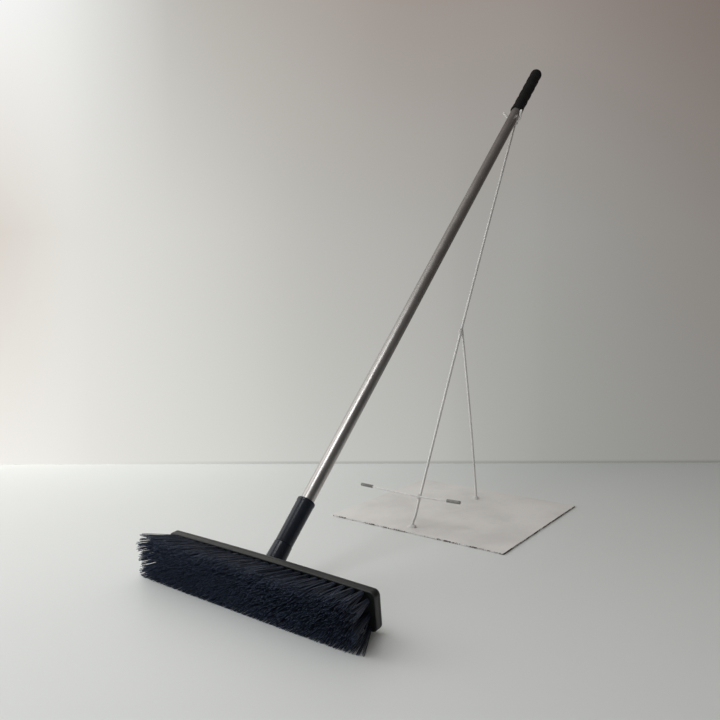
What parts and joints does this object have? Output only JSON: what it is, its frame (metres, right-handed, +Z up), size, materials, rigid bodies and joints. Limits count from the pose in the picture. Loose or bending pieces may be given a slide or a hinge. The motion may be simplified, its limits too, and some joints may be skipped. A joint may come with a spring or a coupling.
{
  "type": "push broom on stand",
  "caption": "Push broom with a wide bristle head, round tubular handle and rubber grip, leaning in the cradle of a flat-based welded wire stand.",
  "frame": {"origin": "on the floor, under the middle of the set's box", "axes": "+X along the broom head, +Y the way the handle leans, +Z up"},
  "size_m": [0.4166, 1.0237, 0.9749],
  "materials": {
    "block_plastic": "matte dark olive-grey moulded plastic",
    "bristle_fibre": "stiff blue-black plastic filament",
    "socket_plastic": "glossy blue-black moulded plastic",
    "screw_steel": "zinc-plated steel",
    "tube_aluminium": "satin anodised aluminium",
    "grip_rubber": "soft black rubber",
    "stand_paint": "off-white paint, chipped at the edges",
    "tip_plastic": "grey plastic sleeve"
  },
  "bodies": {
    "stand": {"stand_plate": "stand_paint", "mast_rod": "stand_paint", "brace_rod": "stand_paint", "crossbar_rod": "stand_paint", "cradle_rod": "stand_paint", "crossbar_tip_left": "tip_plastic", "crossbar_tip_right": "tip_plastic", "weld_mast_foot": "stand_paint", "weld_brace_foot": "stand_paint", "weld_brace_top": "stand_paint", "weld_crossbar": "stand_paint", "weld_cradle": "stand_paint"},
    "broom_head": {"brush_block": "block_plastic", "head_socket": "socket_plastic", "socket_screw_1": "screw_steel", "socket_screw_2": "screw_steel", "socket_screw_3": "screw_steel", "socket_screw_4": "screw_steel", "bristle_row_1": "bristle_fibre", "bristle_row_2": "bristle_fibre", "bristle_row_3": "bristle_fibre", "bristle_row_4": "bristle_fibre", "bristle_row_5": "bristle_fibre", "bristle_row_6": "bristle_fibre"},
    "handle": {"handle_tube": "tube_aluminium"},
    "ferrule_and_grip": {"handle_ferrule": "socket_plastic", "handle_grip": "grip_rubber"}
  },
  "joints": [
    {"name": "broom_lift", "type": "slide", "parent": "stand", "child": "broom_head", "axis": [0, 0, 1], "range_m": [0, 0.25]},
    {"name": "handle_travel", "type": "slide", "parent": "broom_head", "child": "handle", "axis": [0, 0.7096, 0.7046], "range_m": [0, 0.0336]},
    {"name": "handle_turn", "type": "hinge", "parent": "handle", "child": "ferrule_and_grip", "pos_m": [0, -0.4375, 0.032], "axis": [0, 0.7096, 0.7046], "range_deg": [0, 2160]}
  ],
  "couplings": [
    {"joint": "handle_turn", "follows": "handle_travel", "rad_per_m": 1122}
  ]
}
